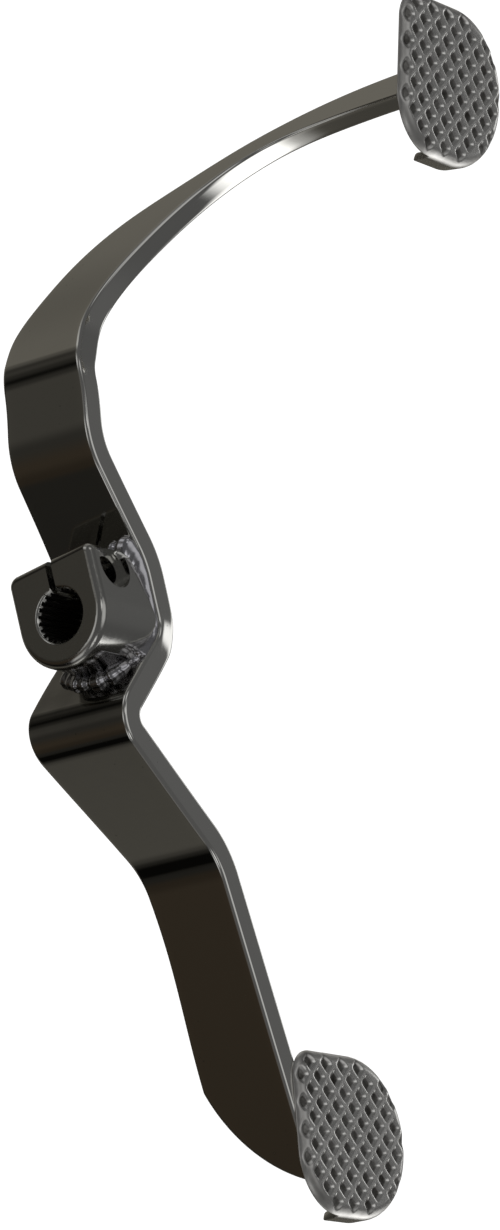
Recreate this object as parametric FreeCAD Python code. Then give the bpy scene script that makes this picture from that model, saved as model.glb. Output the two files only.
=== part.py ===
import FreeCAD, Part
import math
import os

# Millimetres. +X runs forward to the toe pad, +Y outward from the engine, +Z up.
# The shapes are built with the bore's mouth at Y = 0 and moved at the end,
# so that the origin is the centre of the serrated bore, half way along it.

V = FreeCAD.Vector

# Flat bar
bar_thick = 6.0
bar_half = 11.4            # half width away from the boss
seat_half = 12.6           # half width under the boss
seat_flare = 3.0           # extra below the boss, on its front side
edge_round = 0.8

# Plan of the bar's engine-side face: headings in degrees outward while going forward
seat_slope = 11.0
seat_run = 15.8
front_slope = -41.0
front_run = 29.0
knee_slope = 52.0
knee_run = 45.0
toe_slope = 20.6
rear_slope = 34.5
rear_run = 30.0
flat_slope = -2.0
flat_run = 20.5
heel_slope = -36.0
heel_run = 45.0
heel_end_slope = -50.0
seat_front_x = 3.0         # front corner of the seat
seat_front_rise = 2.4      # that corner stands this far beyond the boss length
end_spare = 14.0           # plan runs this far past each end of the side outline
apex_bend = 6.0            # bend radii on the engine side
front_bend = 8.5
knee_bend = 18.0
seat_bend = 18.0
rear_bend = 20.0
flat_bend = 14.0
heel_bend_share = 0.8      # share of the heel run that curves on outward

# Side outline of the bar
toe_end_x = 123.0
toe_sweep = 23.0           # length of the swept-up stretch at the toe end
heel_end_x = 127.0         # rear face of the heel stretch
heel_neck = 11.0           # its length along X under the heel pad
# Heel stretch: share of the way back from the flat stretch, share of the rise to the heel pad
heel_top_shape = ((0.18, -0.09), (0.35, -0.07), (0.55, 0.02), (0.74, 0.14), (0.91, 0.34), (0.98, 0.63))
heel_low_shape = ((0.15, -0.05), (0.31, 0), (0.44, 0.07), (0.58, 0.2), (0.71, 0.41), (0.84, 0.64), (0.94, 0.92))

# Boss
boss_length = 18.0
boss_radius = 12.0
lug_reach = 13.5           # bore axis to the flat lug end
lug_corner = 2.5
boss_turn = -10.0          # lug turned about the bore axis
boss_edge = 2.0
bore_depth = 15.5
crest_radius = 5.6
root_radius = 6.1
serrations = 24
crest_share = 0.42         # crest's share of one tooth's pitch
root_share = 0.28
bore_lead = 0.7            # chamfer at the mouth
lead_overrun = 0.3         # chamfer cone runs this far inside the crests
slit_wide = 1.6
bolt_offset = 8.3          # bolt axis to bore axis
bolt_y = 8.0
bolt_clear_r = 3.3
bolt_core_r = 2.5
spot_r = 5.2
spot_z = 9.6               # seat of the bolt head
weld_leg = 3.2
weld_high = 2.6

# Foot pads
pad_long = 37.5
pad_wide = 41.0
pad_rear_corner = 7.0
pad_front_corner = 14.0
plate = 2.0
skirt_deep = 6.5
pad_round = 3.0
pad_inner_round = 1.0
skirt_gap = 13.0           # skirt starts this far from the straight edge
tread_pitch = 4.4
pit_side = 3.4
pit_floor = 1.2
pit_deep = 0.8
tread_margin = 3.9
toe_pad_x = 111.6
toe_pad_y = 78.0
heel_pad_x = -123.3
heel_pad_y = 74.7
heel_pad_z = 66.4          # underside of the heel plate at its centre
heel_pad_tilt = 8.0        # tread leans forward
bead_leg = 2.5
bead_long = 14.0

tall = 140.0               # taller than the part, for cutting
cut_over = 1.0             # cutters run this far past a face
skin = 0.001               # tread cutters stand this far above the plate


def heading(degrees):
    a = math.radians(degrees)
    return V(math.cos(a), math.sin(a), 0)


def plan_points():
    seat_front = V(seat_front_x, boss_length + seat_front_rise, 0)
    front = seat_front + heading(front_slope) * front_run
    knee = front + heading(knee_slope) * knee_run
    toe_run = (toe_end_x + end_spare - knee.x) / heading(toe_slope).x
    toe = knee + heading(toe_slope) * toe_run
    seat_rear = seat_front - heading(seat_slope) * seat_run
    rear = seat_rear - heading(rear_slope) * rear_run
    flat = rear - heading(flat_slope) * flat_run
    heel = flat - heading(heel_slope) * heel_run
    heel_end_run = (heel.x + heel_end_x + end_spare) / heading(heel_end_slope).x
    heel_end = heel - heading(heel_end_slope) * heel_end_run
    return [heel_end, heel, flat, rear, seat_rear, seat_front, front, knee, toe]


heel_bend = heel_run * heel_bend_share / math.tan(math.radians(heel_slope - heel_end_slope) / 2)
plan_radii = [heel_bend, flat_bend, rear_bend, seat_bend, apex_bend, front_bend, knee_bend]


def crossing(p, u, q, w):
    # Where the line through p along u meets the line through q along w
    k = ((q.x - p.x) * w.y - (q.y - p.y) * w.x) / (u.x * w.y - u.y * w.x)
    return p + u * k


def plan_side(offset):
    # The bent plan line moved outward by offset, as straight stretches and bend arcs
    points = plan_points()
    ways = []
    starts = []
    for a, b in zip(points[:-1], points[1:]):
        way = (b - a).normalize()
        ways.append(way)
        starts.append(a + V(-way.y, way.x, 0) * offset)
    last = points[-1] + V(-ways[-1].y, ways[-1].x, 0) * offset
    edges = []
    at = starts[0]
    for i, radius in enumerate(plan_radii):
        u = ways[i]
        w = ways[i + 1]
        turn = math.atan2(u.x * w.y - u.y * w.x, u.x * w.x + u.y * w.y)
        r = radius - offset * math.copysign(1.0, turn)
        corner = crossing(starts[i], u, starts[i + 1], w)
        reach = r * math.tan(abs(turn) / 2)
        tangent_in = corner - u * reach
        tangent_out = corner + w * reach
        inward = (w - u).normalize()
        middle = corner + inward * (r / math.cos(turn / 2) - r)
        edges.append(Part.makeLine(at, tangent_in))
        edges.append(Part.Arc(tangent_in, middle, tangent_out).toShape())
        at = tangent_out
    edges.append(Part.makeLine(at, last))
    return edges


def plan_band(near, far):
    # Upright slab between two offsets of the plan line
    near_edges = plan_side(near)
    far_edges = plan_side(far)
    near_start = near_edges[0].firstVertex(True).Point
    far_start = far_edges[0].firstVertex(True).Point
    near_end = near_edges[-1].lastVertex(True).Point
    far_end = far_edges[-1].lastVertex(True).Point
    edges = near_edges + far_edges
    edges.append(Part.makeLine(near_start, far_start))
    edges.append(Part.makeLine(near_end, far_end))
    wire = Part.Wire(Part.__sortEdges__(edges))
    slab = Part.Face(wire).extrude(V(0, 0, 2 * tall))
    slab.translate(V(0, 0, -tall))
    return slab


def curve(points, first, last):
    line = Part.BSplineCurve()
    line.interpolate(Points=points, InitialTangent=first, FinalTangent=last)
    return line.toShape()


def side_outline():
    # Bar seen from the engine side: wide at the boss, swept up at the toe, rising at the heel
    plan = plan_points()
    knee_x = plan[7].x
    flat_x = plan[2].x
    arch_x = plan[3].x
    neck_x = -heel_end_x + heel_neck
    top_z = heel_pad_z + end_spare
    rise = heel_pad_z - bar_half
    back = V(-1, 0, 0)
    up = V(0, 0, 1)
    toe_top = V(toe_end_x, 0, bar_half)
    knee_top = V(knee_x, 0, bar_half)
    top = [knee_top, V(seat_front_x, 0, seat_half), V(arch_x, 0, bar_half), V(flat_x, 0, bar_half * 0.84)]
    for along, lift in heel_top_shape:
        top.append(V(flat_x + (neck_x - flat_x) * along, 0, bar_half + rise * lift))
    top.append(V(neck_x, 0, top_z))
    rear_x = -heel_end_x
    low = [V(rear_x, 0, top_z)]
    for along, lift in reversed(heel_low_shape):
        low.append(V(flat_x + (rear_x - flat_x) * along, 0, rise * lift - bar_half))
    low.append(V(flat_x, 0, -bar_half * 1.08))
    low.append(V(arch_x, 0, -bar_half * 1.02))
    low.append(V(plan[4].x, 0, -seat_half))
    low.append(V(boss_radius, 0, -seat_half - seat_flare))
    low.append(V(knee_x, 0, -bar_half * 0.96))
    low.append(V(knee_x + (toe_end_x - knee_x) * 0.25, 0, -bar_half * 0.88))
    low.append(V(toe_end_x - toe_sweep, 0, -bar_half))
    sweep_middle = V(toe_end_x - toe_sweep * 0.37, 0, -bar_half * 0.23)
    edges = [Part.makeLine(toe_top, knee_top)]
    edges.append(curve(top, back, up))
    edges.append(Part.makeLine(top[-1], low[0]))
    edges.append(curve(low, up * -1, V(1, 0, 0)))
    edges.append(Part.Arc(low[-1], sweep_middle, toe_top).toShape())
    slab = Part.Face(Part.Wire(edges)).extrude(V(0, 2 * tall, 0))
    slab.translate(V(0, -tall / 2, 0))
    return slab


def heel_frame():
    # Placement of the heel pad: underside of the plate at its centre
    turn = FreeCAD.Rotation(V(0, 1, 0), heel_pad_tilt)
    return FreeCAD.Placement(V(heel_pad_x, heel_pad_y, heel_pad_z), turn)


def toe_frame():
    return FreeCAD.Placement(V(toe_pad_x, toe_pad_y, bar_half), FreeCAD.Rotation())


def lever_arm():
    bar = plan_band(0, bar_thick).common(side_outline())
    above = Part.makeBox(tall, tall, tall, V(-tall / 2, -tall / 2, 0))
    above.Placement = heel_frame().multiply(above.Placement)
    bar = bar.cut(above).Solids[0]
    return bar.makeFillet(edge_round, bar.Edges)


def lug_outline(grow):
    # Round hub with straight sides to a flat lug end, in the XZ plane
    r = boss_radius + grow
    end = -lug_reach - grow
    c = lug_corner + grow
    s = c * (1 - math.sqrt(0.5))
    edges = [Part.Arc(V(0, 0, r), V(r, 0, 0), V(0, 0, -r)).toShape()]
    edges.append(Part.makeLine(V(0, 0, -r), V(end + c, 0, -r)))
    edges.append(Part.Arc(V(end + c, 0, -r), V(end + s, 0, -r + s), V(end, 0, -r + c)).toShape())
    edges.append(Part.makeLine(V(end, 0, -r + c), V(end, 0, r - c)))
    edges.append(Part.Arc(V(end, 0, r - c), V(end + s, 0, r - s), V(end + c, 0, r)).toShape())
    edges.append(Part.makeLine(V(end + c, 0, r), V(0, 0, r)))
    return Part.Wire(edges)


def lug_block(grow, start, stop):
    block = Part.Face(lug_outline(grow)).extrude(V(0, stop - start, 0))
    block.translate(V(0, start, 0))
    return block


def polar(radius, angle):
    return V(radius * math.cos(angle), 0, radius * math.sin(angle))


def serrated_bore():
    # Teeth keep their place about the shaft, whatever the turn of the lug
    pitch = 2 * math.pi / serrations
    start = math.radians(boss_turn)
    crest = pitch * crest_share
    root = pitch * root_share
    flank = (pitch - crest - root) / 2
    edges = []
    for i in range(serrations):
        a = start + i * pitch - crest / 2
        b = a + crest
        c = b + flank
        d = c + root
        e = a + pitch
        middle = a + crest / 2
        valley = c + root / 2
        crest_arc = Part.Arc(polar(crest_radius, a), polar(crest_radius, middle), polar(crest_radius, b))
        root_arc = Part.Arc(polar(root_radius, c), polar(root_radius, valley), polar(root_radius, d))
        edges.append(crest_arc.toShape())
        edges.append(Part.makeLine(polar(crest_radius, b), polar(root_radius, c)))
        edges.append(root_arc.toShape())
        edges.append(Part.makeLine(polar(root_radius, d), polar(crest_radius, e)))
    hole = Part.Face(Part.Wire(edges)).extrude(V(0, bore_depth + cut_over, 0))
    hole.translate(V(0, -cut_over, 0))
    mouth_radius = root_radius + bore_lead
    inner_radius = crest_radius - lead_overrun
    lead = Part.makeCone(mouth_radius, inner_radius, mouth_radius - inner_radius, V(0, 0, 0), V(0, 1, 0))
    return hole.fuse(lead)


def bolt_cuts():
    # Slit through the lug and the cross hole: clear and spot-faced above, tapping size below
    slit_corner = V(-lug_reach - cut_over, -cut_over, -slit_wide / 2)
    slit = Part.makeBox(lug_reach + cut_over, bore_depth + cut_over, slit_wide, slit_corner)
    at = V(-bolt_offset, bolt_y, 0)
    clear = Part.makeCylinder(bolt_clear_r, boss_radius + cut_over, at, V(0, 0, 1))
    core = Part.makeCylinder(bolt_core_r, boss_radius + cut_over, at, V(0, 0, -1))
    spot = Part.makeCylinder(spot_r, boss_radius, at + V(0, 0, spot_z), V(0, 0, 1))
    return [slit, clear, core, spot]


def splined_boss(bar_slab):
    block = lug_block(0, 0, boss_length + seat_front_rise + bar_thick / 2)
    rim = [e for e in block.Edges if e.BoundBox.YMax < 0.01]
    block = block.makeFillet(boss_edge, rim)
    block = block.cut([serrated_bore()] + bolt_cuts())
    block.rotate(V(0, 0, 0), V(0, 1, 0), boss_turn)
    pieces = block.cut(bar_slab).Solids
    return max(pieces, key=lambda piece: piece.Volume)


def boss_weld(bar_outline):
    # Bead lying on the bar around the foot of the boss
    collar = lug_block(weld_leg, 0, boss_length * 2)
    collar = collar.cut(lug_block(0, -cut_over, boss_length * 2 + cut_over))
    collar.rotate(V(0, 0, 0), V(0, 1, 0), boss_turn)
    return collar.common(plan_band(-weld_high, 0)).common(bar_outline)


def pad_outline(inset):
    # Straight engine-side edge, a wide front corner, a smaller rear corner and a half-round outer end
    half = pad_long / 2 - inset
    straight = -pad_wide / 2 + inset
    centre = pad_wide / 2 - pad_long / 2
    front = pad_front_corner - inset
    rear = pad_rear_corner - inset
    front_cut = front * (1 - math.sqrt(0.5))
    rear_cut = rear * (1 - math.sqrt(0.5))
    front_on = V(half - front, straight, 0)
    front_off = V(half, straight + front, 0)
    rear_on = V(-half, straight + rear, 0)
    rear_off = V(-half + rear, straight, 0)
    front_middle = V(half - front_cut, straight + front_cut, 0)
    rear_middle = V(-half + rear_cut, straight + rear_cut, 0)
    edges = [Part.makeLine(rear_off, front_on)]
    edges.append(Part.Arc(front_on, front_middle, front_off).toShape())
    edges.append(Part.makeLine(front_off, V(half, centre, 0)))
    edges.append(Part.Arc(V(half, centre, 0), V(0, centre + half, 0), V(-half, centre, 0)).toShape())
    edges.append(Part.makeLine(V(-half, centre, 0), rear_on))
    edges.append(Part.Arc(rear_on, rear_middle, rear_off).toShape())
    return Part.Wire(edges)


def pad_block(inset, low, high, rounding):
    block = Part.Face(pad_outline(inset)).extrude(V(0, 0, high - low))
    block.translate(V(0, 0, low))
    rim = [e for e in block.Edges if e.BoundBox.ZMin > high - 0.01]
    return block.makeFillet(rounding, rim)


def square(side, z):
    # Square with its corners along X and Y
    h = side * math.sqrt(0.5)
    return Part.makePolygon([V(h, 0, z), V(0, h, z), V(-h, 0, z), V(0, -h, z), V(h, 0, z)])


def tread_pits():
    pit = Part.makeLoft([square(pit_side, plate + skin), square(pit_floor, plate - pit_deep)], True, True)
    field = Part.Face(pad_outline(tread_margin))
    step = tread_pitch * math.sqrt(0.5)
    reach = int(pad_wide / tread_pitch)
    pits = []
    for i in range(-reach, reach + 1):
        for j in range(-reach, reach + 1):
            at = V((i - j) * step, (i + j) * step, 0)
            if field.isInside(at, 0.01, True):
                one = pit.copy()
                one.translate(at)
                pits.append(one)
    return pits


def foot_pad():
    # Stamped plate with a turned-down skirt, open along its straight edge
    pan = pad_block(0, plate - skirt_deep, plate, pad_round)
    pan = pan.cut(pad_block(plate, plate - skirt_deep - cut_over, 0, pad_inner_round))
    mouth_corner = V(-pad_long, -pad_wide, -skirt_deep * 2)
    mouth = Part.makeBox(pad_long * 2, pad_wide / 2 + skirt_gap, skirt_deep * 2, mouth_corner)
    pan = pan.cut(mouth)
    return pan.cut(tread_pits())


def pad_bead(frame, slope, x):
    # Triangular bead along the bar's outer face, under a pad plate
    way = heading(slope)
    side = V(-way.y, way.x, 0)
    foot = plan_points()[7 if x > 0 else 1]
    on_face = crossing(foot + side * bar_thick, way, V(x, 0, 0), V(0, 1, 0))
    normal = frame.Rotation.multVec(V(0, 0, 1))
    away = on_face - frame.Base
    z = frame.Base.z - (normal.x * away.x + normal.y * away.y) / normal.z
    tilt = -(normal.x * way.x + normal.y * way.y) / normal.z
    run = (way + V(0, 0, tilt)).normalize()
    top = V(on_face.x, on_face.y, z) - run * (bead_long / 2)
    leg = side * bead_leg - V(0, 0, (normal * side) / normal.z * bead_leg)
    drop = V(0, 0, -bead_leg)
    wire = Part.makePolygon([top, top + leg, top + drop, top])
    return Part.Face(wire).extrude(run * bead_long)


def placed(shape, frame):
    out = shape.copy()
    out.Placement = frame.multiply(out.Placement)
    return out


os.makedirs("parts", exist_ok=True)
bar_slab = plan_band(0, bar_thick)
bar_outline = side_outline()
pad = foot_pad()
nodes = {}
nodes["lever_arm"] = lever_arm()
nodes["splined_boss"] = splined_boss(bar_slab)
nodes["boss_weld"] = boss_weld(bar_outline)
nodes["toe_pad"] = placed(pad, toe_frame())
nodes["heel_pad"] = placed(pad, heel_frame())
nodes["toe_pad_weld"] = pad_bead(toe_frame(), toe_slope, toe_pad_x)
nodes["heel_pad_weld"] = pad_bead(heel_frame(), heel_end_slope, -heel_end_x + heel_neck / 2)
for name, shape in nodes.items():
    shape.translate(V(0, -bore_depth / 2, 0))
    print(name, shape.ShapeType, len(shape.Solids), shape.isValid(), round(shape.Volume, 1))
    shape.exportStep("parts/" + name + ".step")
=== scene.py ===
import bmesh
import bpy
import math
import numpy as np
from mathutils import Matrix


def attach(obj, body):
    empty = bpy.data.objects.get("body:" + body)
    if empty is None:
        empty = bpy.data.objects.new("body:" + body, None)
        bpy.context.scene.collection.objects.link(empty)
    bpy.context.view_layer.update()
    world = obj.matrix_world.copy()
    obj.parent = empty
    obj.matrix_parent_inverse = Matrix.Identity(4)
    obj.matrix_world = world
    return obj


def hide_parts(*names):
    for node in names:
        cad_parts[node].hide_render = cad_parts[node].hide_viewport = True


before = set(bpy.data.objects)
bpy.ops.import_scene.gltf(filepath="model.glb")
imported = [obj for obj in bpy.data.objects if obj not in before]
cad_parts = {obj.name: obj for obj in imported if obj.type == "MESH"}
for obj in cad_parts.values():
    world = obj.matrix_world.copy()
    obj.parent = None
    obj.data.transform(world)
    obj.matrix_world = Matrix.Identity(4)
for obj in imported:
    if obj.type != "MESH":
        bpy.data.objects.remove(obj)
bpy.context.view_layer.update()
print("frame loaded:", sorted(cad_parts))

# lengths are millimetres in the part's frame, x to the toe, y away from the engine, z up
mm = 0.001
mouthShift = -7.75  # the drawing's y = 0 is the bore mouth, the frame's is half way down the bore
tiny = 1e-9  # keeps a division away from zero

# bent flat bar
bar = {
    "thick": 6.0, "half": 11.4, "seatHalf": 12.6, "edgeRound": 0.9,  # half widths: bar, at the boss
    # stretches seen from above, heel to toe: heading in degrees, length; the outer two run past the ends
    "stretches": [(-50.0, 90.0), (-36.0, 45.0), (-2.0, 20.5), (34.5, 30.0),
                  (11.0, 15.8), (-41.0, 29.0), (52.0, 45.0), (20.6, 120.0)],
    "seatStretch": 4, "seatFront": (3.0, 20.4),  # the stretch under the boss, and its front corner
    "bends": [14.0, 20.0, 18.0, 6.0, 8.5, 18.0],  # radii, from the flat stretch to the toe
    "heelBendShare": 0.8,  # how much of the heel stretch its wide bend takes up
    "toeEnd": 123.0, "toeSweep": 23.0, "tipTrim": 0.55,
    "sweepBy": (0.37, 0.23),  # a point low on the swept-up toe: shares of the sweep and of the half width
    "heelEnd": 127.0, "heelNeck": 11.0, "heelOver": 14.0,  # the edges run on past the pad, then are cut
    # the heel's edges: share of the way back, share of the rise
    "heelTop": [(0.18, -0.09), (0.35, -0.07), (0.55, 0.02), (0.74, 0.14), (0.91, 0.34), (0.98, 0.63)],
    "heelLow": [(0.15, -0.05), (0.31, 0.0), (0.44, 0.07), (0.58, 0.2), (0.71, 0.41), (0.84, 0.64),
                (0.94, 0.92)],
    # shares of the half width: top edge at the flat stretch, low edge from the toe back
    "topFlat": 0.84, "lowToe": 0.88, "lowKnee": 0.96, "lowArch": 1.02, "lowFlat": 1.08,
    "lowToeAt": 0.25,  # where lowToe is, as a share of the way from the knee to the toe end
    "flareAt": 12.0, "flare": 3.0,  # the low edge bulges in front of the boss
    "lengthwise": 30.0,  # behind the flat stretch's corner the edges still run lengthwise this far
    # slope of the top edge at the tight bend, its middle, its reach and how steeply it fades down the width
    "bendLean": 0.18, "bendLeanAt": 4.5, "bendLeanSpan": 4.5, "bendLeanFade": 8,
    "wearFade": 14, "edgeWear": 0.35,  # wear fades from the corners over the faces, and is low on the edges
    "rows": 760, "heelRows": 0.36, "rowBunch": 0.03, "rowOver": 1.0,
    "across": 18, "roundSteps": 7, "edgeSteps": 6,
    "samples": 6000, "sweepSamples": 1200, "tipSamples": 1500, "sharp": 50,
}
# stamped foot pads, set here because the bar's heel end is cut at one of them
pads = {
    "long": 37.5, "wide": 41.0, "rearCorner": 7.0, "frontCorner": 14.0, "plate": 2.0, "round": 3.0,
    "skirtDeep": 6.5, "skirtGap": 13.0, "skirtFade": 0.8,
    "pitch": 4.4, "pitSide": 3.4, "pitFloor": 1.2, "pitDeep": 0.8, "margin": 1.6, "pitSoft": 0.3,
    "pitSquare": 6, "pitDish": 0.6, "pitStart": 4,  # squareness, share of the round dish, rim steepness
    "fadeFrom": 0.4, "fadeOver": 1.2,  # the hollows run out towards the rim, millimetres in from the outline
    "rimEnd": 0.45, "lipUp": 0.3,  # height where the rim turns into the skirt; the skirt's end over the lip
    "lip": [(0.3, 0.0), (1.0, -0.05), (1.7, 0.0)],  # inset from the outline, height over the lip's level
    "underRound": 1.4, "underBow": 0.7,
    "wearAt": 1.2, "wearOver": 1.6, "wearLow": -0.5,  # worn rim: inset of its middle, reach, lowest height
    "around": 460, "rings": 84, "rimRings": 13, "skirtRings": 9, "wallRings": 8, "underRings": 14,
    "samples": 6001, "sharp": 62,
    # place of the plate's underside, forward lean in degrees, share of the full bead under it
    "toe": {"at": (111.6, 78.0, 11.4), "lean": 0.0, "beadShare": 0.95},
    "heel": {"at": (-123.3, 74.7, 66.4), "lean": 8.0, "beadShare": 0.62},
}


def heading(degrees):
    a = math.radians(degrees)
    return np.array([math.cos(a), math.sin(a)])


ways = np.array([heading(slope) for slope, run in bar["stretches"]])
sides = np.stack([-ways[:, 1], ways[:, 0]], 1)  # square to each stretch, away from the engine


# corners of the bar's engine-side face seen from above: each is one stretch on from the last,
# forward and back from the front corner of the seat
def planPoints():
    steps = [way * run for way, (slope, run) in zip(ways, bar["stretches"])]
    seat = bar["seatStretch"]
    points = [np.array(bar["seatFront"])]
    for step in steps[seat + 1:]:
        points.append(points[-1] + step)
    for step in steps[seat::-1]:
        points.insert(0, points[0] - step)
    return np.array(points)


plan = planPoints()
flatX, archX, seatRearX, kneeX = plan[[2, 3, 4, 7], 0]
heelTurn = math.radians(bar["stretches"][1][0] - bar["stretches"][0][0])
heelBend = bar["stretches"][1][1] * bar["heelBendShare"] / math.tan(heelTurn / 2)


# x where the lines of two neighbouring stretches, moved outward by d, cross
def cornerX(i, d):
    miter = (sides[i - 1] + sides[i]) / (1.0 + ways[i - 1] @ ways[i])
    return plan[i][0] + miter[0] * d


# y of the plan line moved outward by d, at x: straight stretches y = y0 + (x - x0) tan(heading), and at each
# corner a circle about one centre whose radius shrinks by d on a left turn and grows by d on a right turn
def planY(x, d):
    x, d = np.broadcast_arrays(np.asarray(x, float), np.asarray(d, float))
    for i, (way, side) in enumerate(zip(ways, sides)):
        sx, sy = plan[i][0] + side[0] * d, plan[i][1] + side[1] * d
        line = sy + (x - sx) * way[1] / way[0]
        y = np.where(x >= cornerX(i, d), line, y) if i else line
    for i, radius in enumerate([heelBend, *bar["bends"]]):
        u, w = ways[i], ways[i + 1]
        turn = math.atan2(u[0] * w[1] - u[1] * w[0], u @ w)
        hand = math.copysign(1.0, turn)
        reach = radius * math.tan(abs(turn) / 2)
        centre = plan[i + 1] - u * reach + sides[i] * hand * radius
        r = radius - hand * d
        first = centre[0] - hand * sides[i][0] * r
        last = centre[0] - hand * sides[i + 1][0] * r
        arc = centre[1] - hand * np.sqrt(np.maximum(r * r - (x - centre[0]) ** 2, 0.0))
        y = np.where((x > first) & (x < last), arc, y)
    return y + mouthShift


# cubic spline through points with given end directions: chord lengths as the parameter,
# slopes from one linear solve
def splineThrough(points, first, last, count):
    p = np.array(points, float)
    h = np.linalg.norm(np.diff(p, axis=0), axis=1)
    n = len(p)
    a = np.zeros((n, n))
    b = np.zeros((n, 2))
    a[0, 0] = a[-1, -1] = 1.0
    b[0], b[-1] = first, last
    k = np.arange(1, n - 1)
    a[k, k - 1] = h[1:]
    a[k, k] = 2 * (h[:-1] + h[1:])
    a[k, k + 1] = h[:-1]
    step = np.diff(p, axis=0) / h[:, None]
    b[1:-1] = 3 * (h[1:, None] * step[:-1] + h[:-1, None] * step[1:])
    m = np.linalg.solve(a, b)
    s = np.concatenate([[0.0], np.cumsum(h)])
    t = np.linspace(0.0, s[-1], count)
    i = np.clip(np.searchsorted(s, t, "right") - 1, 0, n - 2)
    f = ((t - s[i]) / h[i])[:, None]
    hi = h[i][:, None]
    return ((2 * f ** 3 - 3 * f ** 2 + 1) * p[i] + (f ** 3 - 2 * f ** 2 + f) * hi * m[i]
            + (3 * f ** 2 - 2 * f ** 3) * p[i + 1] + (f ** 3 - f ** 2) * hi * m[i + 1])


# height of the heel pad's underside over x: a plane leaning forward
def heelPlane(x):
    hx, hy, hz = pads["heel"]["at"]
    return hz - (x - hx) * math.tan(math.radians(pads["heel"]["lean"]))


# the swept-up toe: a circle through the sweep's start, a point low on it and the tip
def toeSweep(start):
    half, toeEnd = bar["half"], bar["toeEnd"]
    backShare, lowShare = bar["sweepBy"]
    a = np.array(start)
    b = np.array([toeEnd - bar["toeSweep"] * backShare, -half * lowShare])
    c = np.array([toeEnd, half])
    centre = np.linalg.solve(2 * np.array([b - a, c - a]), np.sum(np.array([b, c]) ** 2, 1) - a @ a)
    r = np.linalg.norm(a - centre)
    first = math.atan2(*(c - centre)[::-1])
    last = math.atan2(*(a - centre)[::-1])
    angle = np.linspace(first, last, bar["sweepSamples"])
    return centre + r * np.stack([np.cos(angle), np.sin(angle)], 1)


# the bar's two long edges seen from the engine: splines from the toe back, cut at the heel pad's underside
def sideEdges():
    half, seatHalf, toeEnd, padZ = bar["half"], bar["seatHalf"], bar["toeEnd"], pads["heel"]["at"][2]
    rise, overZ = padZ - half, padZ + bar["heelOver"]
    rearX = -bar["heelEnd"]
    neckX = rearX + bar["heelNeck"]
    heelTop, heelLow = np.array(bar["heelTop"]), np.array(bar["heelLow"])
    top = [(kneeX, half), (bar["seatFront"][0], seatHalf), (archX, half), (flatX, half * bar["topFlat"])]
    top += zip(flatX + (neckX - flatX) * heelTop[:, 0], half + rise * heelTop[:, 1])
    top += [(neckX, overZ)]
    low = [(toeEnd - bar["toeSweep"], -half)]
    low += [(kneeX + (toeEnd - kneeX) * bar["lowToeAt"], -half * bar["lowToe"])]
    low += [(kneeX, -half * bar["lowKnee"]), (bar["flareAt"], -seatHalf - bar["flare"])]
    low += [(seatRearX, -seatHalf), (archX, -half * bar["lowArch"]), (flatX, -half * bar["lowFlat"])]
    low += zip(flatX + (rearX - flatX) * heelLow[:, 0], rise * heelLow[:, 1] - half)
    low += [(rearX, overZ)]
    backward, upward = (-1, 0), (0, 1)
    tip = np.linspace(toeEnd, kneeX, bar["tipSamples"], False)
    topLine = np.concatenate([np.stack([tip, np.full(len(tip), half)], 1),
                              splineThrough(top, backward, upward, bar["samples"])])
    lowLine = np.concatenate([toeSweep(low[0])[:-1], splineThrough(low, backward, upward, bar["samples"])])
    return [line[line[:, 1] < heelPlane(line[:, 0])] for line in (topLine, lowLine)]


topEdge, lowEdge = sideEdges()


# height of an edge over x, for the stretches where the edge runs lengthwise
def edgeHeight(edge, x):
    keep = edge[:, 0] > flatX - bar["lengthwise"]
    return np.interp(x, edge[keep][::-1, 0], edge[keep][::-1, 1])


# length along a line of points
def lengthAlong(line):
    return np.concatenate([[0.0], np.cumsum(np.linalg.norm(np.diff(line, axis=0), axis=1))])


# one edge's points for the bar's rows: equal x on both edges from the toe to the heel bend,
# equal share of length up the heel
def edgeRows(edge):
    heelRows = int(bar["rows"] * bar["heelRows"])
    f = np.linspace(0.0, 1.0, bar["rows"] - heelRows)
    tipX = bar["toeEnd"] - bar["tipTrim"]
    x = tipX + (flatX - bar["toeEnd"] + bar["tipTrim"]) * (f - bar["rowBunch"] * np.sin(math.pi * f))
    level = edge[edge[:, 0] > flatX - bar["rowOver"]]
    front = np.stack([x, np.interp(-x, -level[:, 0], level[:, 1])], 1)
    heel = edge[edge[:, 0] < flatX]
    s = lengthAlong(heel)
    g = np.linspace(0.0, 1.0, heelRows + 1)[1:] * s[-1]
    return np.concatenate([front, np.stack([np.interp(g, s, heel[:, 0]), np.interp(g, s, heel[:, 1])], 1)])


# quads between neighbouring grid points; a direction that is closed joins its last line to its first
def gridFaces(rows, cols, closedRows=False, closedCols=False):
    i, j = np.meshgrid(np.arange(rows - (not closedRows)), np.arange(cols - (not closedCols)), indexing="ij")
    i2, j2 = (i + 1) % rows, (j + 1) % cols
    corners = [i * cols + j, i2 * cols + j, i2 * cols + j2, i * cols + j2]
    return np.stack(corners, -1).reshape(-1, 4).tolist()


# one flat face over each end of a grid that is closed round its columns
def endCaps(rows, cols):
    return [list(range(cols)), list(range((rows - 1) * cols, rows * cols))]


# the mesh as an object, smooth except at edges sharper than the limit
def placeMesh(mesh, sharpDegrees):
    mesh.shade_smooth()
    mesh.set_sharp_from_angle(angle=math.radians(sharpDegrees))
    piece = bpy.data.objects.new(mesh.name, mesh)
    bpy.context.scene.collection.objects.link(piece)
    print("built", mesh.name, len(mesh.polygons), "faces")
    return piece


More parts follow.
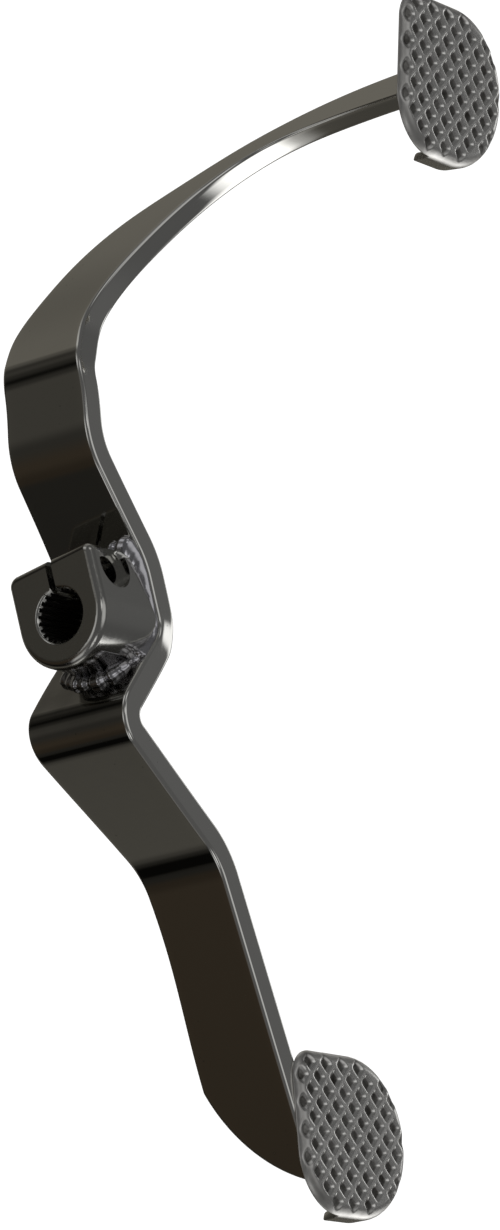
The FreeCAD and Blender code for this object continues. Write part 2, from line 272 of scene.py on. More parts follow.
# a mesh object from points in millimetres, with its faces turned outward
def makePiece(name, points, faces, sharpDegrees, attributes):
    mesh = bpy.data.meshes.new(name)
    mesh.from_pydata((np.asarray(points).reshape(-1, 3) * mm).tolist(), [], faces)
    for label, values in attributes.items():
        layer = mesh.attributes.new(label, "FLOAT", "POINT")
        layer.data.foreach_set("value", np.asarray(values, np.float32).ravel())
    work = bmesh.new()
    work.from_mesh(mesh)
    bmesh.ops.recalc_face_normals(work, faces=work.faces)
    work.to_mesh(mesh)
    work.free()
    return placeMesh(mesh, sharpDegrees)


def dress(piece, material, node):
    piece.data.materials.clear()
    piece.data.materials.append(material)
    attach(piece, "root")
    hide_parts(node)


# closed outline of the bar's section: two faces, two edges and four quarter circles, each one given as
# shares of the width, millimetres from there, depth and wear
def barProfile():
    r, t = bar["edgeRound"], bar["thick"]
    f = 0.5 - 0.5 * np.cos(np.linspace(0.0, math.pi, bar["across"]))
    q = np.linspace(0.0, math.pi / 2, bar["roundSteps"])[1:-1]
    e = np.linspace(r, t - r, bar["edgeSteps"])
    sine, cosine = r * np.sin(q), r * np.cos(q)
    one, zero = np.ones_like, np.zeros_like
    faceWear = np.abs(2 * f - 1) ** bar["wearFade"]
    edgeWear = one(e) * bar["edgeWear"]
    outline = [
        (f, r * (1 - 2 * f), zero(f), faceWear),
        (one(q), sine - r, r - cosine, one(q)),
        (one(e), zero(e), e, edgeWear),
        (one(q), cosine - r, t - r + sine, one(q)),
        (f[::-1], r * (1 - 2 * f[::-1]), t * one(f), faceWear),
        (zero(q), r - sine, t - r + cosine, one(q)),
        (zero(e), zero(e), e[::-1], edgeWear),
        (zero(q), r - cosine, r - sine, one(q)),
    ]
    return [np.concatenate(column) for column in zip(*outline)]


# bar: the section's point at share a and b millimetres on the line from the low edge to the top edge,
# set on the plan line moved outward by d
def makeBar():
    top, low = edgeRows(topEdge), edgeRows(lowEdge)
    a, b, d, wear = barProfile()
    wide = np.linalg.norm(top - low, axis=1)
    share = np.clip(a[None, :] + b[None, :] / wide[:, None], 0.0, 1.0)
    xz = low[:, None, :] + (top - low)[:, None, :] * share[..., None]
    points = np.stack([xz[..., 0], planY(xz[..., 0], d[None, :]), xz[..., 1]], -1)
    # at the tight bend the squeezed inner side of the top edge stands higher than the stretched outer side:
    # height = slope * distance from mid thickness, fading as a bell along the bar and steeply down its width
    bell = np.exp(-((points[..., 0] - bar["bendLeanAt"]) / bar["bendLeanSpan"]) ** 2)
    fromMiddle = bar["thick"] / 2 - d[None, :]
    points[..., 2] += bar["bendLean"] * bell * fromMiddle * share ** bar["bendLeanFade"]
    rows, cols = share.shape
    faces = gridFaces(rows, cols, closedCols=True) + endCaps(rows, cols)
    engineSide = np.clip(1 - d / bar["edgeRound"], 0.0, 1.0)
    masks = {"edgeWear": np.tile(wear, rows), "engineSide": np.tile(engineSide, rows)}
    return makePiece("chromeBar", points, faces, bar["sharp"], masks)


# distance along a unit ray from the origin to the far side of a circle
def rayToCircle(ex, ey, cx, cy, r):
    dot = ex * cx + ey * cy
    return dot + np.sqrt(np.maximum(dot * dot - cx * cx - cy * cy + r * r, 0.0))


# clearance to a pad's outline, positive inside: half circle at the outer end, rounded corners at the
# straight edge
def padInside(x, y):
    half, straight = pads["long"] / 2, -pads["wide"] / 2
    c = np.where(x > 0, pads["frontCorner"], pads["rearCorner"])
    centre = pads["wide"] / 2 - half
    outer = half - np.hypot(x, y - centre)
    dx, dy = np.abs(x) - (half - c), (straight + c) - y
    corner = c - np.hypot(np.maximum(dx, 0), np.maximum(dy, 0)) - np.minimum(np.maximum(dx, dy), 0)
    return np.where(y > centre, outer, corner)


# distance from the half circle's centre to the outline moved in by inset, in direction angle:
# a circle above, then sides, corner circles and the straight edge
def padReach(angle, inset):
    half, straight = pads["long"] / 2 - inset, -pads["wide"] / 2 + inset
    centre = pads["wide"] / 2 - pads["long"] / 2
    c = np.where(np.cos(angle) > 0, pads["frontCorner"], pads["rearCorner"]) - inset
    ex, ey = np.abs(np.cos(angle)), np.sin(angle)
    cx, cy = half - c, straight + c - centre
    side = half / np.maximum(ex, tiny)
    base = (straight - centre) / np.minimum(ey, -tiny)
    arc = rayToCircle(ex, ey, cx, cy, c)
    low = np.where(side * ey > cy, side, np.where(base * ex < cx, base, arc))
    return np.where(ey >= 0, half + 0 * ex, low)


# depth of the tread at a point, 0 to 1: square hollows with soft rims on a lattice turned by 45 degrees
def pitDepth(x, y):
    u, v = (x + y) * math.sqrt(0.5), (y - x) * math.sqrt(0.5)
    p, square, dish = pads["pitch"], pads["pitSquare"], pads["pitDish"]
    iu, iv = np.round(u / p) * p, np.round(v / p) * p
    cx, cy = (iu - iv) * math.sqrt(0.5), (iu + iv) * math.sqrt(0.5)
    big = (np.abs(u - iu) ** square + np.abs(v - iv) ** square) ** (1 / square)
    rim, floor = pads["pitSide"] / 2 + pads["pitSoft"] / 2, pads["pitFloor"] / 2
    f = np.clip((rim - big) / (rim - floor), 0.0, 1.0)
    soft = f * f * (3 - 2 * f) * dish + f * (1 - dish) * np.minimum(f * pads["pitStart"], 1)
    return np.where(padInside(cx, cy) > pads["margin"], soft, 0.0)


# foot pad: rings round the outline, from the tread's middle out over the rounded rim, down the skirt,
# round its lip and back along the underside; the skirt's depth falls to nothing near the straight edge
def makePad(name, place):
    plate, r, rimEnd, lipUp = pads["plate"], pads["round"], pads["rimEnd"], pads["lipUp"]
    centre = pads["wide"] / 2 - pads["long"] / 2
    dense = np.linspace(-math.pi / 2, 1.5 * math.pi, pads["samples"])
    outline = padReach(dense, 0.0)[:, None] * np.stack([np.cos(dense), np.sin(dense)], 1)
    s = lengthAlong(outline)
    angle = np.interp(np.linspace(0, s[-1], pads["around"], False), s, dense)
    unit = np.stack([np.cos(angle), np.sin(angle)], 1)
    rimY = padReach(angle, 0.0) * unit[:, 1] + centre
    gapY = -pads["wide"] / 2 + pads["skirtGap"]
    f = np.clip((rimY - gapY) / pads["skirtFade"], 0.0, 1.0)
    lipZ = (plate - pads["skirtDeep"]) * f * f * (3 - 2 * f)
    rings, hollows = [], []

    def addRing(reach, z, hollowShare=0.0):
        xy = unit * reach[:, None] + [0, centre]
        hollows.append(hollowShare * pitDepth(xy[:, 0], xy[:, 1]))
        rings.append(np.column_stack([xy, z - pads["pitDeep"] * hollows[-1]]))

    def shares(count):
        return np.linspace(0.0, 1.0, count)[1:]

    inner = padReach(angle, r)
    for k in shares(pads["rings"]):
        addRing(inner * k, plate, 1.0)
    rimZ = [0 * angle + plate - (plate - rimEnd) * k ** 2 for k in shares(pads["rimRings"])]
    skirtZ = [rimEnd + (lipZ + lipUp - rimEnd) * k for k in shares(pads["skirtRings"])]
    for z in rimZ + skirtZ:
        inset = np.where(z > plate - r, r - np.sqrt(np.maximum(r * r - (z - plate + r) ** 2, 0)), 0.0)
        addRing(padReach(angle, inset), z, np.clip((inset - pads["fadeFrom"]) / pads["fadeOver"], 0.0, 1.0))
    for inset, up in pads["lip"]:
        addRing(padReach(angle, inset), lipZ + up)
    for k in np.linspace(0.0, 1.0, pads["wallRings"]):
        z = (lipZ + lipUp * f) * (1 - k ** pads["underBow"])
        addRing(padReach(angle, plate + pads["underRound"] * k ** 3), z)
    under = padReach(angle, plate + pads["underRound"])
    for k in np.linspace(1.0, 0.0, pads["underRings"])[1:-1]:
        addRing(under * k, 0 * angle)

    rows, cols = len(rings), len(angle)
    hubPit = float(pitDepth(np.array(0.0), np.array(centre)))
    points = np.concatenate([*rings, [[0, centre, plate - pads["pitDeep"] * hubPit], [0, centre, 0]]])
    j = np.arange(cols)
    nextJ = (j + 1) % cols
    last = (rows - 1) * cols
    faces = gridFaces(rows, cols, closedCols=True)
    faces += np.column_stack([np.full(cols, rows * cols), j, nextJ]).tolist()
    faces += np.column_stack([np.full(cols, rows * cols + 1), last + nextJ, last + j]).tolist()
    pit = np.concatenate([*hollows, [hubPit, 0.0]])
    fromRim = np.abs(padInside(points[:, 0], points[:, 1]) - pads["wearAt"])
    rim = np.clip(1 - fromRim / pads["wearOver"], 0, 1) * (points[:, 2] > pads["wearLow"])
    a = math.radians(place["lean"])
    turn = np.array([[math.cos(a), 0, math.sin(a)], [0, 1, 0], [-math.sin(a), 0, math.cos(a)]])
    px, py, pz = place["at"]
    points = points @ turn.T + [px, py + mouthShift, pz]
    return makePiece(name, points, faces, pads["sharp"], {"pit": pit, "edgeWear": rim})


# split clamp boss, its angles in degrees
boss = {
    "radius": 12.0, "lugReach": 13.5, "corner": 2.5, "turn": -10.0,
    "merge": 0.002, "flatAngle": 0.6, "sharp": 32, "normalWeight": 90,
}


# distance from the bore axis to the boss outline grown by some millimetres, in direction angle:
# circle in front, then flats, corner circles and the lug's end
def bossReach(angle, grow):
    r, end, c = boss["radius"] + grow, boss["lugReach"] + grow, boss["corner"] + grow
    ex, ez = np.cos(angle), np.abs(np.sin(angle))
    flat = r / np.maximum(ez, tiny)
    tail = end / np.maximum(-ex, tiny)
    cx, cz = -(end - c), r - c
    arc = rayToCircle(ex, ez, cx, cz, c)
    back = np.where(flat * ex > cx, flat, np.where(tail * ez < cz, tail, arc))
    return np.where(ex >= 0, r + 0 * ez, back)


# boss: the solid's own shape, its loose triangles merged into whole faces, its shading evened out
def makeBoss():
    work = bmesh.new()
    work.from_mesh(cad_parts["splined_boss"].data)
    bmesh.ops.remove_doubles(work, verts=work.verts, dist=boss["merge"] * mm)
    flat = math.radians(boss["flatAngle"])
    bmesh.ops.dissolve_limit(work, angle_limit=flat, verts=work.verts, edges=work.edges)
    mesh = bpy.data.meshes.new("clampBoss")
    work.to_mesh(mesh)
    work.free()
    piece = placeMesh(mesh, boss["sharp"])
    even = piece.modifiers.new("evenNormals", "WEIGHTED_NORMAL")
    even.keep_sharp = True
    even.weight = boss["normalWeight"]
    return piece


# weld beads
weld = {
    # round the boss: legs on bar and boss, least leg, least share of the height, fullness of the section
    "leg": 3.4, "high": 2.8, "leastLeg": 0.35, "leastHigh": 0.35, "bulge": 1.25,
    "rootIn": 0.4, "footDeep": 0.3, "proud": 0.02,  # how far it sits in the boss, in the bar, off the bar
    "edgeRoom": 0.5, "level": 0.05,  # room kept to the bar's edges, where it climbs more than this share
    "ripple": 0.09, "pitch": 3.3, "rippleMiddle": 0.6, "lump": 0.24,
    "swells": [(0.61, 0.4, 1.0), (1.37, 2.1, 0.7), (2.9, 5.0, 0.4)],  # slow swelling: rate, phase, size
    "count": 420, "steps": 11,
    # under a pad: leg, length, taper at the ends, ripple, fullness
    "beadLeg": 2.4, "beadLong": 14.0, "beadTaper": 0.75, "taperPower": 6,
    "beadRipple": 0.12, "beadRate": 1.7, "beadBulge": 1.2,
    "beadIn": 0.05, "beadWear": 0.5, "beadCount": 60, "beadSteps": 9,
    "sharp": 60,
}


# slow uneven swelling along a bead, a sum of sines
def lumps(s):
    total = sum(size * np.sin(s * rate + phase) for rate, phase, size in weld["swells"])
    return total / sum(size for rate, phase, size in weld["swells"])


# bead round the foot of the boss: the outline on the bar's face, with a rounded fillet standing between bar
# and boss, rippled along its length; its leg is held inside the bar's edges
def makeBossWeld():
    count, steps = weld["count"], weld["steps"]
    angle = np.linspace(-math.pi, math.pi, count, False)
    a = math.radians(boss["turn"])

    def turned(grow):
        r = bossReach(angle, grow)
        x, z = r * np.cos(angle), r * np.sin(angle)
        return np.stack([x * math.cos(a) + z * math.sin(a), -x * math.sin(a) + z * math.cos(a)], 1)

    root, out = turned(-weld["rootIn"]), turned(1.0 - weld["rootIn"])
    away = (out - root) / np.linalg.norm(out - root, axis=1)[:, None]
    s = lengthAlong(root)
    scales = np.abs(np.sin(s * math.pi / weld["pitch"]))
    ripple = 1 + weld["ripple"] * (scales - weld["rippleMiddle"]) + weld["lump"] * lumps(s)
    topRoom = edgeHeight(topEdge, root[:, 0]) - weld["edgeRoom"] - root[:, 1]
    lowRoom = root[:, 1] - edgeHeight(lowEdge, root[:, 0]) - weld["edgeRoom"]
    climb = np.abs(away[:, 1])
    room = np.where(away[:, 1] > 0, topRoom, lowRoom) / np.maximum(climb, tiny)
    room = np.where(climb > weld["level"], room, np.inf)
    leg = np.clip(np.minimum(weld["leg"] * ripple, room), weld["leastLeg"], None)
    high = weld["high"] * ripple * np.clip(leg / weld["leg"], weld["leastHigh"], 1.0)
    q = np.linspace(0.0, math.pi / 2, steps)
    xz = root[:, None, :] + away[:, None, :] * (leg[:, None] * np.cos(q) ** weld["bulge"])[..., None]
    y = planY(xz[..., 0], 0.0) - high[:, None] * np.sin(q) ** weld["bulge"] - weld["proud"]
    crest = np.stack([xz[..., 0], y, xz[..., 1]], -1)
    foot = np.stack([root[:, 0], planY(root[:, 0], 0.0) + weld["footDeep"], root[:, 1]], -1)[:, None, :]
    grid = np.concatenate([crest, foot], 1)
    faces = gridFaces(count, steps + 1, True, True)
    return makePiece("bossWeldBead", grid, faces, weld["sharp"], {"edgeWear": np.repeat(scales, steps + 1)})


# short bead in the corner under a pad: a rounded fillet with tapered ends between the bar's outer face
# and the plate
def makePadWeld(name, place, x):
    count, cols = weld["beadCount"], weld["beadSteps"] + 1
    px, py, pz = place["at"]
    k = np.linspace(-1.0, 1.0, count)
    cx = x + k * weld["beadLong"] / 2 * place["beadShare"]
    cy = planY(cx, bar["thick"])
    slope = np.gradient(cy, cx)
    side = np.stack([-slope, np.ones(count), np.zeros(count)], 1) / np.hypot(slope, 1.0)[:, None]
    drop = math.tan(math.radians(place["lean"]))
    root = np.stack([cx, cy - weld["beadIn"], pz - (cx - px) * drop], 1)
    side[:, 2] = -side[:, 0] * drop
    scales = np.abs(np.sin(lengthAlong(root) * weld["beadRate"]))
    taper = 1 - weld["beadTaper"] * np.abs(k) ** weld["taperPower"]
    size = weld["beadLeg"] * taper * (1 + weld["beadRipple"] * (scales - weld["rippleMiddle"]))
    q = np.linspace(0.0, math.pi / 2, weld["beadSteps"])
    out = np.cos(q)[None, :, None] ** weld["beadBulge"]
    down = np.sin(q)[None, :, None] ** weld["beadBulge"]
    crest = root[:, None, :] + (side[:, None, :] * out - np.array([0, 0, 1.0]) * down) * size[:, None, None]
    grid = np.concatenate([crest, root[:, None, :]], 1)
    faces = gridFaces(count, cols, closedCols=True) + endCaps(count, cols)
    wear = np.full(count * cols, weld["beadWear"])
    return makePiece(name, grid, faces, weld["sharp"], {"edgeWear": wear})


# shading
colourA, colourB, colourOut = 6, 7, 2  # colour sockets of a Mix node


def textureNode(tree, kind, vector, **inputs):
    node = tree.nodes.new(kind)
    for label, value in inputs.items():
        node.inputs[label].default_value = value
    tree.links.new(vector, node.inputs["Vector"])
    return node.outputs


def mathNode(tree, operation, a, b=None, clamp=False):
    node = tree.nodes.new("ShaderNodeMath")
    node.operation = operation
    node.use_clamp = clamp
    for socket, value in zip(node.inputs, (a, b)):
        if value is None:
            continue
        if isinstance(value, (int, float)):
            socket.default_value = value
        else:
            tree.links.new(value, socket)
    return node.outputs[0]


# a start value plus each mask times its weight
def weightedSum(tree, total, masks, weights, clamp=False):
    for label, weight in weights.items():
        total = mathNode(tree, "ADD", total, mathNode(tree, "MULTIPLY", masks[label], weight), clamp)
    return total


# from one colour to a plain second colour by a mask
def blendTo(tree, mask, first, second):
    mix = tree.nodes.new("ShaderNodeMix")
    mix.data_type = "RGBA"
    tree.links.new(mask, mix.inputs["Factor"])
    tree.links.new(first, mix.inputs[colourA])
    mix.inputs[colourB].default_value = (*second, 1)
    return mix.outputs[colourOut]


def maskOf(tree, label):
    node = tree.nodes.new("ShaderNodeAttribute")
    node.attribute_name = label
    return node.outputs["Fac"]


def splitVector(tree, vector):
    parts = tree.nodes.new("ShaderNodeSeparateXYZ")
    tree.links.new(vector, parts.inputs[0])
    return parts.outputs


# worn plating, used by every finish: scales of its patterns, where they start, and what they change
platingWear = {
    "cloudScale": 55.0, "grainScale": 900.0, "speckScale": 420.0,
    "rubTurn": (0.3, 0.5, 0.9), "rubScale": (160.0, 2600.0, 1900.0),
    "speckSharp": 9.0, "speckFrom": 0.56, "rubFrom": 0.66, "hazeFrom": 0.35,
    "roughness": {"haze": 2.0, "rub": 0.10, "speck": 0.25, "edge": 0.05},
    "brightness": {"speck": -0.55, "haze": -1.4, "edge": 0.10},
    "height": {"cloud": 0.6, "speck": -0.5, "grain": 0.05, "rub": -0.06},
    # the dark colour serves both dirt and painted shade
    "bumpDistance": 0.002, "dirtAndShade": (0.055, 0.05, 0.042),
}


# cloudy haze, fine rubbing marks and specks as colour, roughness and height
def platingGroup():
    worn = platingWear
    group = bpy.data.node_groups.new("wornPlating", "ShaderNodeTree")
    for label, kind in (("Vector", "Vector"), ("Edge", "Float"), ("Tint", "Color"),
                        ("Haze", "Float"), ("Polish", "Float"), ("Marks", "Float")):
        group.interface.new_socket(label, in_out="INPUT", socket_type="NodeSocket" + kind)
    for label, kind in (("Colour", "Color"), ("Roughness", "Float"), ("Height", "Float")):
        group.interface.new_socket(label, in_out="OUTPUT", socket_type="NodeSocket" + kind)
    ins = group.nodes.new("NodeGroupInput").outputs
    outs = group.nodes.new("NodeGroupOutput").inputs
    link = group.links.new
    noise, vector = "ShaderNodeTexNoise", ins["Vector"]
    cloud = textureNode(group, noise, vector, Scale=worn["cloudScale"], Detail=5.0, Roughness=0.6)["Fac"]
    grain = textureNode(group, noise, vector, Scale=worn["grainScale"], Detail=3.0, Roughness=0.7)["Fac"]
    turn, scale = worn["rubTurn"], worn["rubScale"]
    stretch = textureNode(group, "ShaderNodeMapping", vector, Rotation=turn, Scale=scale)
    rub = textureNode(group, noise, stretch[0], Scale=1.0, Detail=2.0, Roughness=0.5)["Fac"]
    speck = textureNode(group, "ShaderNodeTexVoronoi", vector, Scale=worn["speckScale"])["Distance"]
    dots = mathNode(group, "SUBTRACT", 1.0, mathNode(group, "MULTIPLY", speck, worn["speckSharp"]), True)
    dots = mathNode(group, "MULTIPLY", dots, mathNode(group, "GREATER_THAN", cloud, worn["speckFrom"]))
    lines = mathNode(group, "MULTIPLY", mathNode(group, "GREATER_THAN", rub, worn["rubFrom"]), ins["Marks"])
    haze = mathNode(group, "SUBTRACT", cloud, worn["hazeFrom"], True)
    haze = mathNode(group, "MULTIPLY", haze, ins["Haze"])
    masks = {"cloud": cloud, "grain": grain, "rub": lines, "speck": dots, "haze": haze, "edge": ins["Edge"]}
    shade = group.nodes.new("ShaderNodeVectorMath")
    shade.operation = "SCALE"
    link(ins["Tint"], shade.inputs[0])
    link(weightedSum(group, 1.0, masks, worn["brightness"]), shade.inputs["Scale"])
    link(shade.outputs[0], outs["Colour"])
    link(weightedSum(group, ins["Polish"], masks, worn["roughness"], True), outs["Roughness"])
    link(weightedSum(group, 0.0, masks, worn["height"]), outs["Height"])
    return group


plating = platingGroup()

# what each finish gives the plating, the strength of its bumps, and how dull its dirt and painted shade are
finishes = {
    "bar": {"tint": (0.60, 0.595, 0.57), "haze": 0.035, "polish": 0.045, "marks": 0.5, "bump": 0.012,
            "dull": 0.06},
    "boss": {"tint": (0.52, 0.515, 0.49), "haze": 0.10, "polish": 0.11, "marks": 0.3, "bump": 0.10,
             "dull": 0.35},
    "pad": {"tint": (0.80, 0.79, 0.765), "haze": 0.12, "polish": 0.20, "marks": 0.6, "bump": 0.05,
            "dull": 0.30},
    "weld": {"tint": (0.50, 0.495, 0.52), "haze": 0.06, "polish": 0.15, "marks": 0.05, "bump": 0.015},
}


# chrome finish: the plating group feeding one metal shader; dirt and painted shade come as one mask of
# darker, duller metal
def chrome(name, look, worn=True, dirtAndShadeMask=None):
    material = bpy.data.materials.new(name)
    material.use_nodes = True
    tree = material.node_tree
    shader = tree.nodes["Principled BSDF"]
    shader.inputs["Metallic"].default_value = 1.0
    vector = tree.nodes.new("ShaderNodeTexCoord").outputs["Object"]
    use = tree.nodes.new("ShaderNodeGroup")
    use.node_tree = plating
    tree.links.new(vector, use.inputs["Vector"])
    use.inputs["Tint"].default_value = (*look["tint"], 1)
    for label in ("Haze", "Polish", "Marks"):
        use.inputs[label].default_value = look[label.lower()]
    if worn:
        tree.links.new(maskOf(tree, "edgeWear"), use.inputs["Edge"])
    colour, rough = use.outputs["Colour"], use.outputs["Roughness"]
    if dirtAndShadeMask:
        dirtAndShade = dirtAndShadeMask(tree, vector)
        colour = blendTo(tree, dirtAndShade, colour, platingWear["dirtAndShade"])
        rough = mathNode(tree, "ADD", rough, mathNode(tree, "MULTIPLY", dirtAndShade, look["dull"]), True)
    tree.links.new(colour, shader.inputs["Base Color"])
    tree.links.new(rough, shader.inputs["Roughness"])
    bump = tree.nodes.new("ShaderNodeBump")
    bump.inputs["Strength"].default_value = look["bump"]
    bump.inputs["Distance"].default_value = platingWear["bumpDistance"]
    tree.links.new(use.outputs["Height"], bump.inputs["Height"])
    tree.links.new(bump.outputs[0], shader.inputs["Normal"])
    return material


# dirt and painted shade, with places in metres as the shader reads them
grimeAndShade = {
    "padNoise": 260.0, "padPatch": (0.8, 0.45),
    # grime and painted shade in the tread's hollows, grime on the rim
    "pitFrom": 0.42, "pitGain": 2.6, "pitMost": 0.95, "rim": 0.62,
    # painted shade on the bar's face in front of the boss
    "shadeNoise": 120.0, "shadePatch": (0.5, 0.35),
    "shadeX": 0.012, "shadeReach": 0.015, "shadeGain": 160.0, "shadeTop": 0.0112,
    "boreReach": 0.0063, "boreGain": 1200.0,
}


# noise times a gain plus a shift
def patchy(tree, vector, scale, gainShift):
    noise = textureNode(tree, "ShaderNodeTexNoise", vector, Scale=scale, Detail=4.0)["Fac"]
    gain, shift = gainShift
    return mathNode(tree, "ADD", mathNode(tree, "MULTIPLY", noise, gain), shift)


# grime and painted shade darkening the tread's hollows, grime along the turned-down rim, broken up by noise
def padGrimeAndShade(tree, vector):
    deep = mathNode(tree, "SUBTRACT", maskOf(tree, "pit"), grimeAndShade["pitFrom"], True)
    deep = mathNode(tree, "MINIMUM", mathNode(tree, "MULTIPLY", deep, grimeAndShade["pitGain"]), grimeAndShade["pitMost"])
    rim = mathNode(tree, "MULTIPLY", maskOf(tree, "edgeWear"), grimeAndShade["rim"])
    patch = patchy(tree, vector, grimeAndShade["padNoise"], grimeAndShade["padPatch"])
    return mathNode(tree, "MULTIPLY", mathNode(tree, "MAXIMUM", deep, rim), patch, True)


# painted shade on the bar's engine-side face in front of the boss, where it mirrors the boss and weld:
# a mask over x and below the top edge, broken up by noise
def paintedBossShade(tree, vector):
    parts = splitVector(tree, vector)
    away = mathNode(tree, "ABSOLUTE", mathNode(tree, "SUBTRACT", parts["X"], grimeAndShade["shadeX"]))
    near = mathNode(tree, "SUBTRACT", grimeAndShade["shadeReach"], away, True)
    near = mathNode(tree, "MULTIPLY", near, grimeAndShade["shadeGain"], True)
    near = mathNode(tree, "MULTIPLY", near, mathNode(tree, "LESS_THAN", parts["Z"], grimeAndShade["shadeTop"]))
    near = mathNode(tree, "MULTIPLY", near, maskOf(tree, "engineSide"))
    return mathNode(tree, "MULTIPLY", near, patchy(tree, vector, grimeAndShade["shadeNoise"], grimeAndShade["shadePatch"]))


# darker, duller metal inside the bore: a mask of how near a point is to the bore axis
def boreDarkening(tree, vector):
    parts = splitVector(tree, vector)
    xx = mathNode(tree, "MULTIPLY", parts["X"], parts["X"])
    zz = mathNode(tree, "MULTIPLY", parts["Z"], parts["Z"])
    away = mathNode(tree, "SQRT", mathNode(tree, "ADD", xx, zz))
    near = mathNode(tree, "SUBTRACT", grimeAndShade["boreReach"], away)
    return mathNode(tree, "MULTIPLY", near, grimeAndShade["boreGain"], True)


# the bar's darker face in front of the boss is painted shade
barChrome = chrome("barChrome", finishes["bar"], dirtAndShadeMask=paintedBossShade)
bossChrome = chrome("bossChrome", finishes["boss"], worn=False, dirtAndShadeMask=boreDarkening)
# the pads' hollows hold grime and painted shade
padChrome = chrome("padChrome", finishes["pad"], dirtAndShadeMask=padGrimeAndShade)
weldChrome = chrome("weldChrome", finishes["weld"])
print("finishes ready")

toeMiddle = pads["toe"]["at"][0]
heelMiddle = -bar["heelEnd"] + bar["heelNeck"] / 2
dress(makeBar(), barChrome, "lever_arm")
dress(makeBoss(), bossChrome, "splined_boss")
dress(makeBossWeld(), weldChrome, "boss_weld")
dress(makePad("toePad", pads["toe"]), padChrome, "toe_pad")
dress(makePad("heelPad", pads["heel"]), padChrome, "heel_pad")
dress(makePadWeld("toePadBead", pads["toe"], toeMiddle), weldChrome, "toe_pad_weld")
dress(makePadWeld("heelPadBead", pads["heel"], heelMiddle), weldChrome, "heel_pad_weld")

# studio, in metres
studio = {
    "floorZ": -0.30, "floorSize": 20.0, "floorGlow": 0.93, "floorGrey": 0.8, "floorRough": 0.9,
    # cards round the part below eye level: bearing in degrees from the engine side, grey
    "lowCards": [(-180, 0.11), (-166, 0.05), (-150, 0.13), (-122, 0.17), (-108, 0.16), (-99, 0.13),
                 (-92, 0.15), (-84, 0.09), (-74, 0.035), (-66, 0.045), (-57, 0.025), (-47, 0.006),
                 (-37, 0.03), (-28, 0.058), (-18, 0.058), (0, 0.032), (24, 0.032), (40, 0.022),
                 (50, 0.018), (54, 0.015), (58, 0.003), (70, 0.003), (76, 0.018), (83, 0.05),
                 (91, 0.085), (110, 0.11), (124, 0.04), (140, 0.12), (156, 0.06), (180, 0.11)],
    "warm": (1.06, 1.0, 0.86),
    "brown": (1.29, 1.0, 0.69), "brownFrom": 10, "brownTo": 45,
    "highGrey": 0.11, "highGain": 4.0, "highShift": 0.6,  # the room overhead, and how it takes over
    # glow round the room just below eye level: strength; heights (sine) where it starts, is full, wanes, ends
    "bandGlow": 0.60, "bandHeights": (-0.43, -0.30, -0.06, 0.12),
    "bandCards": 7, "bandSwing": 0.46,  # bright cards in the glow, and how far it dims between them
    "backdrop": 1.0,
    # soft boxes: bearing, height in degrees, half angle, softness, strength
    "boxes": [(145, 5, 18, 6, 1.7), (-166, 35, 18, 9, 0.03), (0, 84, 22, 10, 0.5), (-24, 52, 7, 4, 0.8),
              (60, 30, 9, 6, 0.9), (-70, 40, 10, 8, 0.5), (-167, 15, 7, 5, 1.3)],
    "boxCore": 0.5,  # least half angle at full strength
}


# smooth step of a value between two limits, up to a strength
def softStep(tree, value, first, last, strength=1.0):
    step = tree.nodes.new("ShaderNodeMapRange")
    step.interpolation_type = "SMOOTHSTEP"
    step.inputs["From Min"].default_value = first
    step.inputs["From Max"].default_value = last
    step.inputs["To Max"].default_value = strength
    tree.links.new(value, step.inputs["Value"])
    return step.outputs[0]


# ring of cards: a ramp of greys over the bearing as a share of a full turn
def cardRing(tree, bearing):
    ramp = tree.nodes.new("ShaderNodeValToRGB")
    ramp.color_ramp.interpolation = "EASE"
    stops = ramp.color_ramp.elements
    while len(stops) < len(studio["lowCards"]):
        stops.new(0.5)
    for stop, (degrees, grey) in zip(stops, studio["lowCards"]):
        tone = studio["brown"] if studio["brownFrom"] < degrees < studio["brownTo"] else studio["warm"]
        stop.position = degrees / 360 + 0.5
        stop.color = (*[grey * w for w in tone], 1)
    turnShare = mathNode(tree, "ADD", mathNode(tree, "DIVIDE", bearing, 2 * math.pi), 0.5)
    tree.links.new(turnShare, ramp.inputs[0])
    return ramp.outputs[0]


# soft box: a smooth step of the cosine of the angle between a direction and the box's middle
def softBox(tree, vector, bearing, rise, size, soft, strength):
    b, r = math.radians(bearing), math.radians(rise)
    dot = tree.nodes.new("ShaderNodeVectorMath")
    dot.operation = "DOT_PRODUCT"
    tree.links.new(vector, dot.inputs[0])
    dot.inputs[1].default_value = (math.sin(b) * math.cos(r), -math.cos(b) * math.cos(r), math.sin(r))
    outer = math.cos(math.radians(size + soft))
    core = math.cos(math.radians(max(size - soft, studio["boxCore"])))
    return softStep(tree, dot.outputs["Value"], outer, core, strength)


# glow just below eye level: a cosine of the bearing, stepped in and out over the height
def glowBand(tree, bearing, height):
    start, full, wane, end = studio["bandHeights"]
    swing = studio["bandSwing"]
    sway = mathNode(tree, "COSINE", mathNode(tree, "MULTIPLY", bearing, studio["bandCards"]))
    band = mathNode(tree, "ADD", mathNode(tree, "MULTIPLY", sway, swing), 1.0 - swing)
    band = mathNode(tree, "MULTIPLY", band, softStep(tree, height, start, full))
    band = mathNode(tree, "MULTIPLY", band, softStep(tree, height, end, wane))
    return mathNode(tree, "MULTIPLY", band, studio["bandGlow"])


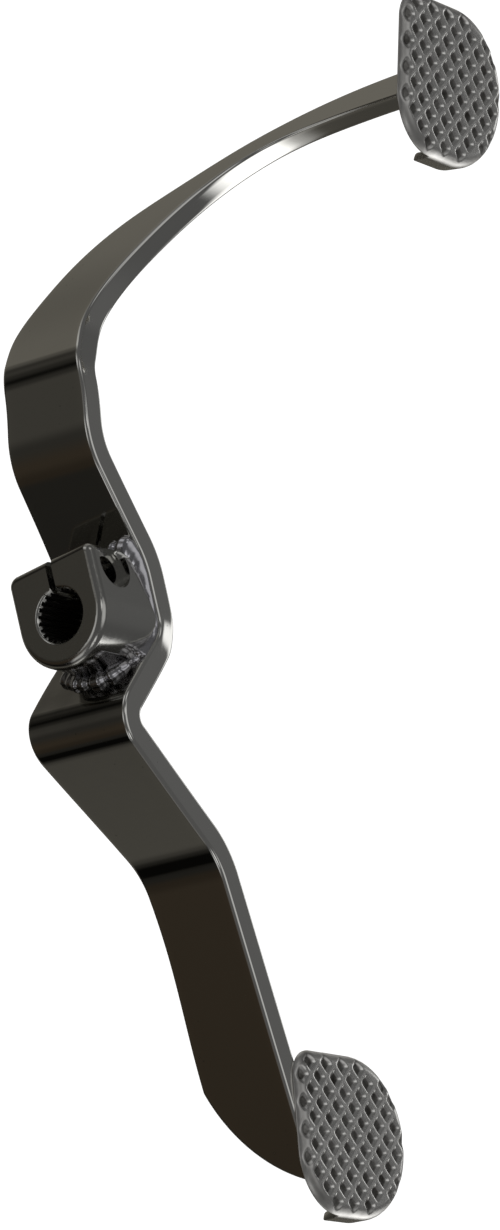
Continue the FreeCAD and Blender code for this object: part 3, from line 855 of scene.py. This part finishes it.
def buildWorld():
    world = bpy.data.worlds.new("studioRoom")
    bpy.context.scene.world = world
    world.use_nodes = True
    tree = world.node_tree
    vector = tree.nodes.new("ShaderNodeTexCoord").outputs["Generated"]
    parts = splitVector(tree, vector)
    bearing = mathNode(tree, "ARCTAN2", parts["X"], mathNode(tree, "MULTIPLY", parts["Y"], -1.0))
    up = mathNode(tree, "MULTIPLY", parts["Z"], studio["highGain"])
    up = mathNode(tree, "ADD", up, studio["highShift"], True)
    room = blendTo(tree, up, cardRing(tree, bearing), [studio["highGrey"]] * 3)
    light = glowBand(tree, bearing, parts["Z"])
    for box in studio["boxes"]:
        light = mathNode(tree, "ADD", light, softBox(tree, vector, *box))
    total = tree.nodes.new("ShaderNodeVectorMath")
    total.operation = "ADD"
    tree.links.new(room, total.inputs[0])
    tree.links.new(light, total.inputs[1])
    # past the floor's end the eye sees a pale backdrop, the part still mirrors the room
    eye = tree.nodes.new("ShaderNodeLightPath").outputs["Is Camera Ray"]
    seen = blendTo(tree, eye, total.outputs[0], [studio["backdrop"]] * 3)
    tree.links.new(seen, tree.nodes["Background"].inputs["Color"])


def buildFloor():
    s, z = studio["floorSize"], studio["floorZ"]
    mesh = bpy.data.meshes.new("studioFloor")
    mesh.from_pydata([(-s, -s, z), (s, -s, z), (s, s, z), (-s, s, z)], [], [(0, 1, 2, 3)])
    floor = bpy.data.objects.new("studioFloor", mesh)
    bpy.context.scene.collection.objects.link(floor)
    material = bpy.data.materials.new("paleFloor")
    material.use_nodes = True
    shader = material.node_tree.nodes["Principled BSDF"]
    shader.inputs["Base Color"].default_value = (*[studio["floorGrey"]] * 3, 1)
    shader.inputs["Roughness"].default_value = studio["floorRough"]
    shader.inputs["Emission Color"].default_value = (1, 1, 1, 1)
    shader.inputs["Emission Strength"].default_value = studio["floorGlow"]
    mesh.materials.append(material)
    floor.visible_glossy = False  # the polished part mirrors the room's cards, not the floor
    floor.visible_diffuse = False


# camera on the photograph's line of sight: millimetres, and degrees of bearing from the engine side
view = {
    "aim": (0.93, 25.0, 28.16), "away": 1260.0, "bearing": 17.5, "rise": 33.85, "roll": 75.2,
    "lens": 166.3, "sensor": 36.0, "near": 0.05, "far": 50.0,  # the last two in metres
}


# the camera looks at the aim from its bearing and rise, and is rolled about its line of sight
def placeCamera():
    data = bpy.data.cameras.new("photoCamera")
    data.lens = view["lens"]
    data.sensor_width = view["sensor"]
    data.clip_start, data.clip_end = view["near"], view["far"]
    camera = bpy.data.objects.new("photoCamera", data)
    bpy.context.scene.collection.objects.link(camera)
    place = Matrix.Translation([length * mm for length in view["aim"]])
    for degrees, axis in ((view["bearing"], "Z"), (90.0 - view["rise"], "X"), (view["roll"], "Z")):
        place = place @ Matrix.Rotation(math.radians(degrees), 4, axis)
    camera.matrix_world = place @ Matrix.Translation((0, 0, view["away"] * mm))
    bpy.context.scene.camera = camera


buildWorld()
buildFloor()
placeCamera()
bpy.context.scene.view_settings.view_transform = "Standard"
print("studio and camera ready")
